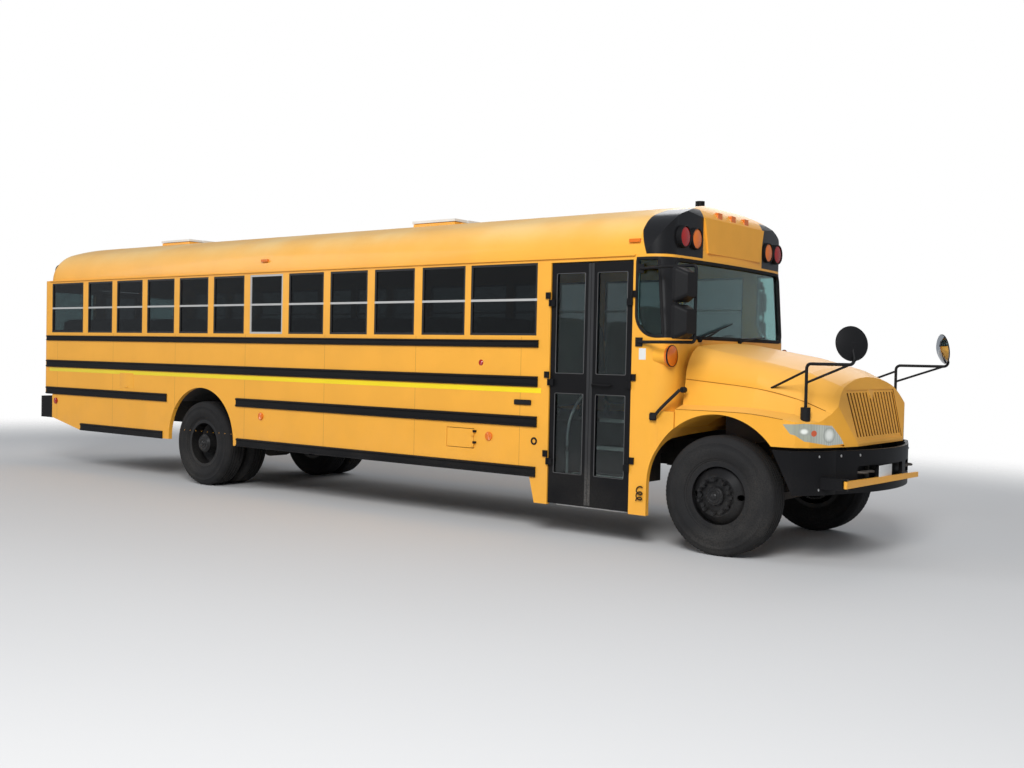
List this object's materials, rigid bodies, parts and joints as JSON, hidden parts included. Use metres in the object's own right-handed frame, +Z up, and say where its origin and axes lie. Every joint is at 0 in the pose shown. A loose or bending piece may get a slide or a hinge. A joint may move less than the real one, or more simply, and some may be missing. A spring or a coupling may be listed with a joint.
{
  "type": "school bus",
  "caption": "Conventional nose-hood bus with rows of bench seats, folding entry door, tilting hood, rear emergency door and swing-out arms",
  "frame": {"origin": "on the ground under the centre of the bounding box", "axes": "+X toward the nose, +Y to the bus's left, +Z up"},
  "size_m": [12.035, 3.07, 3.205],
  "materials": {
    "bus_paint": "satin, slightly faded",
    "black_paint": "satin",
    "aluminium": "satin",
    "tinted_glass": "tinted",
    "clear_glass": "clear",
    "frame_steel": "dusty black",
    "cast": "rough",
    "tyre": "dusty",
    "wheel_paint": "dusty black",
    "floor_rubber": "ribbed",
    "seat_cover": "smooth vinyl",
    "plastic": "matte",
    "red_lens": "glossy",
    "amber_lens": "glossy",
    "lamp_lens": "clear",
    "engine_metal": "oily"
  },
  "bodies": {
    "chassis_and_body": {"amber_lamps": "amber_lens", "body_fittings": "black_paint", "body_glass": "clear_glass", "bumpers": "black_paint", "dashboard": "plastic", "driveline": "frame_steel", "driver_seat": "seat_cover", "engine": "engine_metal", "exhaust": "cast", "floor": "floor_rubber", "floor_beams": "frame_steel", "frame": "frame_steel", "front_axle": "cast", "front_cap": "black_paint", "front_cowl": "bus_paint", "leaf_springs": "frame_steel", "rear_axle": "cast", "rear_wall": "bus_paint", "red_lamps": "red_lens", "roof": "bus_paint", "rub_rails": "black_paint", "seat_backs": "seat_cover", "seat_cushions": "seat_cover", "seat_frames": "frame_steel", "side_mirrors": "plastic", "side_wall_left": "bus_paint", "side_wall_right": "bus_paint", "step_well": "frame_steel", "tank_and_battery_box": "frame_steel", "window_glass": "tinted_glass", "window_sashes": "aluminium"},
    "knuckle_left": {"knuckle_left": "cast"},
    "knuckle_right": {"knuckle_right": "cast"},
    "tie_rod": {"tie_rod": "frame_steel"},
    "wheel_front_left": {"wheel_front_left": "wheel_paint", "tyre_front_left": "tyre"},
    "wheel_front_right": {"wheel_front_right": "wheel_paint", "tyre_front_right": "tyre"},
    "wheels_rear_left": {"wheels_rear_left": "wheel_paint", "tyres_rear_left": "tyre"},
    "wheels_rear_right": {"wheels_rear_right": "wheel_paint", "tyres_rear_right": "tyre"},
    "steering_wheel": {"steering_wheel": "plastic"},
    "door_leaf_rear": {"door_leaf_rear": "black_paint", "door_glass_rear": "tinted_glass"},
    "door_leaf_front": {"door_leaf_front": "black_paint", "door_glass_front": "tinted_glass"},
    "rear_door": {"rear_door": "bus_paint", "rear_door_glass": "tinted_glass"},
    "hood": {"hood": "bus_paint", "headlamps": "lamp_lens", "crossview_mirrors": "plastic"},
    "crossing_arm": {"crossing_arm": "bus_paint"},
    "stop_arm": {"stop_arm": "red_lens"},
    "fuel_door": {"fuel_door": "bus_paint"},
    "hatch_front": {"hatch_front": "bus_paint"},
    "hatch_rear": {"hatch_rear": "bus_paint"}
  },
  "joints": [
    {"name": "steer_left", "type": "hinge", "parent": "chassis_and_body", "child": "knuckle_left", "pos_m": [4.7825, 0.85, 0.515], "axis": [0, 0, 1], "range_deg": [-38, 38]},
    {"name": "steer_right", "type": "hinge", "parent": "chassis_and_body", "child": "knuckle_right", "pos_m": [4.7825, -0.85, 0.515], "axis": [0, 0, 1], "range_deg": [-38, 38]},
    {"name": "tie_rod_swing", "type": "hinge", "parent": "knuckle_left", "child": "tie_rod", "pos_m": [4.5425, 0.85, 0.365], "axis": [0, 0, 1], "range_deg": [-38, 38]},
    {"name": "spin_front_left", "type": "hinge", "parent": "knuckle_left", "child": "wheel_front_left", "pos_m": [4.7825, 1.01, 0.515], "axis": [0, 1, 0], "continuous": true},
    {"name": "spin_front_right", "type": "hinge", "parent": "knuckle_right", "child": "wheel_front_right", "pos_m": [4.7825, -1.01, 0.515], "axis": [0, 1, 0], "continuous": true},
    {"name": "spin_rear_left", "type": "hinge", "parent": "chassis_and_body", "child": "wheels_rear_left", "pos_m": [-2.2275, 1.05, 0.515], "axis": [0, 1, 0], "continuous": true},
    {"name": "spin_rear_right", "type": "hinge", "parent": "chassis_and_body", "child": "wheels_rear_right", "pos_m": [-2.2275, -1.05, 0.515], "axis": [0, 1, 0], "continuous": true},
    {"name": "steering_wheel_turn", "type": "hinge", "parent": "chassis_and_body", "child": "steering_wheel", "pos_m": [3.7825, 0.62, 1.8], "axis": [-0.5, 0, 0.866], "range_deg": [-684, 684]},
    {"name": "door_rear_leaf_swing", "type": "hinge", "parent": "chassis_and_body", "child": "door_leaf_rear", "pos_m": [3.0525, -1.235, 1.4], "axis": [0, 0, -1], "range_deg": [0, 90]},
    {"name": "door_front_leaf_swing", "type": "hinge", "parent": "chassis_and_body", "child": "door_leaf_front", "pos_m": [3.9525, -1.235, 1.4], "axis": [0, 0, 1], "range_deg": [0, 90]},
    {"name": "rear_door_swing", "type": "hinge", "parent": "chassis_and_body", "child": "rear_door", "pos_m": [-5.8935, -0.332, 1.7], "axis": [0, 0, 1], "range_deg": [0, 100]},
    {"name": "hood_tilt", "type": "hinge", "parent": "chassis_and_body", "child": "hood", "pos_m": [5.7125, 0, 0.985], "axis": [0, 1, 0], "range_deg": [0, 60]},
    {"name": "crossing_arm_swing", "type": "hinge", "parent": "chassis_and_body", "child": "crossing_arm", "pos_m": [5.8565, -1.01, 0.69], "axis": [0, 0, -1], "range_deg": [0, 90]},
    {"name": "stop_arm_swing", "type": "hinge", "parent": "chassis_and_body", "child": "stop_arm", "pos_m": [2.9925, 1.241, 1.6], "axis": [0, 0, -1], "range_deg": [0, 90]},
    {"name": "fuel_door_swing", "type": "hinge", "parent": "chassis_and_body", "child": "fuel_door", "pos_m": [2.1515, -1.232, 0.846], "axis": [0, 0, 1], "range_deg": [0, 100]},
    {"name": "hatch_front_lift", "type": "hinge", "parent": "chassis_and_body", "child": "hatch_front", "pos_m": [1.0685, 0, 3.134], "axis": [0, 1, 0], "range_deg": [0, 60]},
    {"name": "hatch_rear_lift", "type": "hinge", "parent": "chassis_and_body", "child": "hatch_rear", "pos_m": [-3.7315, 0, 3.134], "axis": [0, 1, 0], "range_deg": [0, 60]}
  ],
  "couplings": [
    {"joint": "steer_right", "follows": "steer_left", "ratio": 1},
    {"joint": "tie_rod_swing", "follows": "steer_left", "ratio": -1},
    {"joint": "steering_wheel_turn", "follows": "steer_left", "ratio": 18},
    {"joint": "door_front_leaf_swing", "follows": "door_rear_leaf_swing", "ratio": 1}
  ]
}
